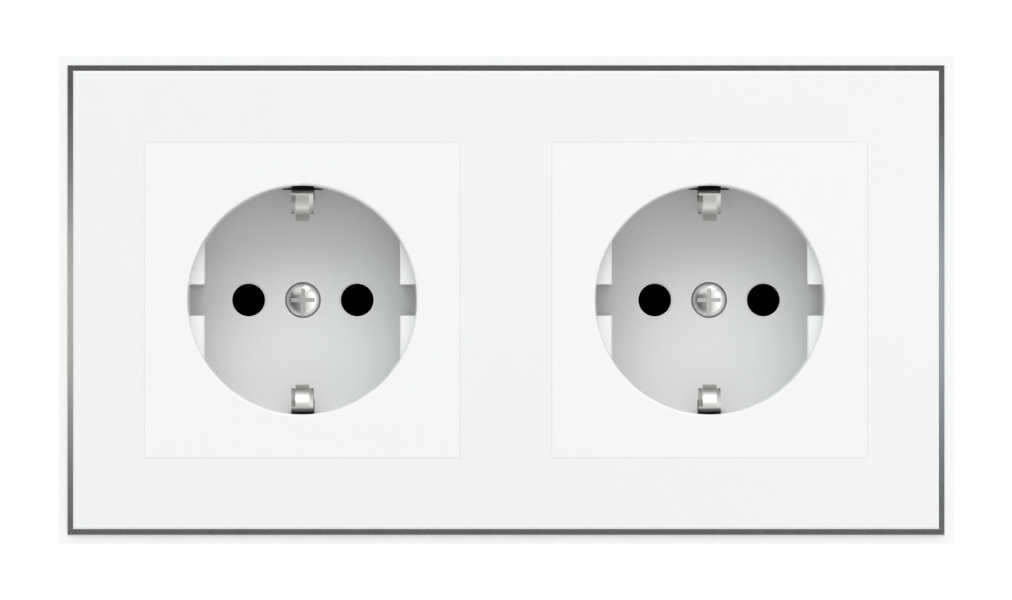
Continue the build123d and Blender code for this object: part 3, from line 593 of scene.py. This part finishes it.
def terminal_screws():
    head, height, shank, length = 3.1 * MM, 2.2 * MM, 1.45 * MM, 5.5 * MM
    # the solids' heads have six corners, so they are less tall than wide
    half_height, earth_set_in = head * sqrt(3) / 2, 0.3 * MM
    slots = ((0.8 * MM, 2.2 * head, 1.0 * MM), (3.4 * MM, 0.8 * MM, 1.2 * MM))
    pattern = slotted_screw("pan_head_screw", head, height, shank, length, slots)
    for gang, gang_x in GANGS.items():
        low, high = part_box(f"{gang}_terminal_screws")
        reach = (high.x - low.x) / 2 - head
        for pole, place in {
            "live": (gang_x - reach, high.y, low.z + half_height),
            "neutral": (gang_x + reach, high.y, low.z + half_height),
            "earth": (gang_x, high.y - earth_set_in, high.z - half_height),
        }.items():
            screw = copy_to(pattern, f"{gang}_{pole}_terminal_screw", place)
            install(screw, "zinc_steel", "unit", f"{gang}_terminal_screws")
    bpy.data.objects.remove(pattern)


def claw_screws():
    low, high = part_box("left_claw_screw_left")
    head, height, shank = (high.x - low.x) / 2, 2.88 * MM, 1.5 * MM
    slots = ((0.8 * MM, 2.2 * head, 1.35 * MM),)
    pattern = slotted_screw("cheese_head_screw", head, height, shank, high.y - low.y - height, slots)
    pattern.data.transform(Matrix.Rotation(radians(180), 4, "Z"))
    for gang in GANGS:
        for side in SIDES:
            low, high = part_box(f"{gang}_claw_screw_{side}")
            screw = copy_to(pattern, f"{gang}_claw_bolt_{side}", ((low.x + high.x) / 2, low.y, 0))
            install(screw, "nickel_steel", f"{gang}_claw_{side}_arm", f"{gang}_claw_screw_{side}")
    bpy.data.objects.remove(pattern)


terminal_screws()
claw_screws()


# Leaf springs that press the shutters down; in the socket they flatten when a plug lifts them, here they
# keep one shape

def shutter_spring(gang, gang_x):
    leaf, foot, tip = 0.3 * MM, 2.0 * MM, 0.7 * MM
    low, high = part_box(f"{gang}_shutter_spring")
    width, depth = high.y - low.y, (low.y + high.y) / 2
    base, top = low.z + leaf / 2, high.z - leaf / 2
    reach = (high.x - low.x) / 2
    deselect()
    bpy.ops.mesh.primitive_plane_add(size=1, location=(gang_x, depth, base))
    spring = bpy.context.object
    spring.scale = (2 * foot, width, 1)
    apply_place()
    for side in SIDES.values():
        # the arm rises from the foot and ends in a short flat tip under the post
        pick_edges(spring, lambda a, b: min(side * (a.x - gang_x), side * (b.x - gang_x)) > foot - TINY)
        extrude((side * (reach - foot - tip), 0, top - base))
        extrude((side * tip, 0, 0))

    def at_bend(a, b):
        out = abs(a.x - gang_x)
        return abs(a.x - b.x) < TINY and min(abs(out - foot), abs(out - reach + tip)) < TINY

    pick_edges(spring, at_bend)
    bpy.ops.mesh.bevel(offset=tip * 2 / 3, segments=6)
    bpy.ops.object.mode_set(mode="OBJECT")
    thicken(spring, leaf, 0)
    settle(spring, f"{gang}_return_spring")
    install(spring, "spring_steel", "unit", f"{gang}_shutter_spring")
    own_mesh(spring)


for gang, gang_x in GANGS.items():
    shutter_spring(gang, gang_x)


# Stage: floor, reflector cards, lamps, world and camera

def floor():
    finish = Finish("floor_pale", grey(0.86), 0.8)
    finish.colour(finish.noise(30), grey(0.85), grey(0.87))
    deselect()
    bpy.ops.mesh.primitive_plane_add(size=1.0, location=(0, 0, -0.06))
    ground = bpy.context.object
    ground.name = "floor"
    ground.data.materials.append(finish.material)
    ground.visible_glossy = False


def reflector(name, place, turn, size, stops):
    """A card that only mirrors see, shaded along its own X axis."""
    material = bpy.data.materials.new(name)
    material.use_nodes = True
    nodes, links = material.node_tree.nodes, material.node_tree.links
    nodes.remove(nodes["Principled BSDF"])
    glow = nodes.new("ShaderNodeEmission")
    where = nodes.new("ShaderNodeTexCoord")
    split = nodes.new("ShaderNodeSeparateXYZ")
    spread = add_range(nodes, -0.5, 0.5)
    ramp = nodes.new("ShaderNodeValToRGB")
    set_stops(ramp, stops)
    ramp.color_ramp.interpolation = "EASE"
    links.new(where.outputs["Object"], split.inputs["Vector"])
    links.new(split.outputs["X"], spread.inputs["Value"])
    links.new(spread.outputs["Result"], ramp.inputs["Fac"])
    links.new(ramp.outputs["Color"], glow.inputs["Color"])
    links.new(glow.outputs["Emission"], nodes["Material Output"].inputs["Surface"])
    deselect()
    bpy.ops.mesh.primitive_plane_add(size=1, location=place, rotation=turn)
    card = bpy.context.object
    card.name = name
    card.scale = (*size, 1)
    card.data.materials.append(material)
    card.visible_camera = card.visible_diffuse = card.visible_shadow = False
    card.visible_transmission = card.visible_volume_scatter = False


def lamp(name, place, aim, size, power, colour):
    light = bpy.data.lights.new(name, "AREA")
    light.shape, light.size, light.size_y = "RECTANGLE", *size
    light.energy, light.color = power, colour
    holder = bpy.data.objects.new(name, light)
    scene.collection.objects.link(holder)
    holder.location = place
    direction = Vector([a - b for a, b in zip(aim, place)])
    holder.rotation_euler = direction.to_track_quat("-Z", "Y").to_euler()
    holder.visible_glossy = False


def white_world(fill):
    """Plain light on the object, and pure white where the camera, a mirror or glass sees the room."""
    world = bpy.data.worlds.new("white_room")
    world.use_nodes = True
    nodes, links = world.node_tree.nodes, world.node_tree.links
    nodes["Background"].inputs["Color"].default_value = (1, 1, 1, 1)
    nodes["Background"].inputs["Strength"].default_value = fill
    seen = nodes.new("ShaderNodeBackground")
    seen.inputs["Color"].default_value = (1, 1, 1, 1)
    path = nodes.new("ShaderNodeLightPath")
    first, second = nodes.new("ShaderNodeMath"), nodes.new("ShaderNodeMath")
    first.operation = second.operation = "MAXIMUM"
    mix = nodes.new("ShaderNodeMixShader")
    links.new(path.outputs["Is Camera Ray"], first.inputs[0])
    links.new(path.outputs["Is Glossy Ray"], first.inputs[1])
    links.new(first.outputs["Value"], second.inputs[0])
    links.new(path.outputs["Is Transmission Ray"], second.inputs[1])
    links.new(second.outputs["Value"], mix.inputs["Fac"])
    links.new(nodes["Background"].outputs["Background"], mix.inputs[1])
    links.new(seen.outputs["Background"], mix.inputs[2])
    links.new(mix.outputs["Shader"], nodes["World Output"].inputs["Surface"])
    scene.world = world


def long_camera(distance):
    """A camera far off with a long lens, so that the front shows next to no perspective."""
    camera = bpy.data.objects.new("camera", bpy.data.cameras.new("camera"))
    scene.collection.objects.link(camera)
    camera.data.lens, camera.data.sensor_width = 1000, 36
    camera.data.clip_start, camera.data.clip_end = 0.1, 50
    camera.location = (0, PLATE_FRONT - distance, 0)
    camera.rotation_euler = TOWARDS_FRONT
    scene.camera = camera


floor()

# cards before the object, seen in the screws, the clips and the glass
reflector(
    "card_front", (0, -1.2, -0.42), (radians(90), radians(-8), 0), (2.4, 1.95),
    [(0.225, grey(0.16)), (0.474, grey(0.43)), (0.624, grey(0.95)), (0.874, grey(1.65))],
)
reflector(
    "card_low", (0, -0.62, -0.72), (radians(-41), 0, 0), (1.4, 0.5),
    [(0.3, grey(0.25)), (0.5, grey(0.7)), (0.7, grey(1.2))],
)
reflector(
    "card_dark_side", (-0.9, -0.5, -0.1), (0, radians(90), 0), (1.8, 1.6),
    [(0, grey(0.05)), (1, grey(0.07))],
)
reflector(
    "card_softbox", (0.4, -0.92, 1.06), (radians(41), 0, 0), (0.9, 0.45),
    [(0, grey(4)), (1, grey(4))],
)

# small cards on the four sides, seen in the trim's bevel
DARK, DUSK = (0.12, 0.119, 0.116), (0.145, 0.144, 0.141)
reflector("card_top", (0, 0, 0.25), (0, 0, 0), (0.3, 0.1), [(0, DARK), (1, DARK)])
reflector("card_bottom", (0, 0, -0.25), (0, 0, 0), (0.3, 0.1), [(0, DUSK), (1, DUSK)])
reflector(
    "card_left", (-0.28, 0, 0), (0, radians(90), 0), (0.16, 0.1),
    [(0.255, DARK), (0.5, (0.57, 0.56, 0.53)), (0.77, (0.16, 0.158, 0.154))],
)
reflector(
    "card_right", (0.28, 0, 0), (0, radians(90), 0), (0.16, 0.1),
    [(0.262, DARK), (0.5, (0.44, 0.47, 0.5)), (0.765, (0.155, 0.158, 0.16))],
)

lamp("key_left", (-0.84, -2.30, 2.21), (0, -0.005, 0), (1.6, 1.8), 29.6, (0.93, 0.98, 1.0))
lamp("key_right", (0.84, -2.30, 2.21), (0, -0.005, 0), (1.6, 1.8), 25.9, (1.0, 0.98, 0.93))
white_world(0.66)
scene.cycles.diffuse_bounces = 2
long_camera(4.897)

bpy.context.view_layer.update()
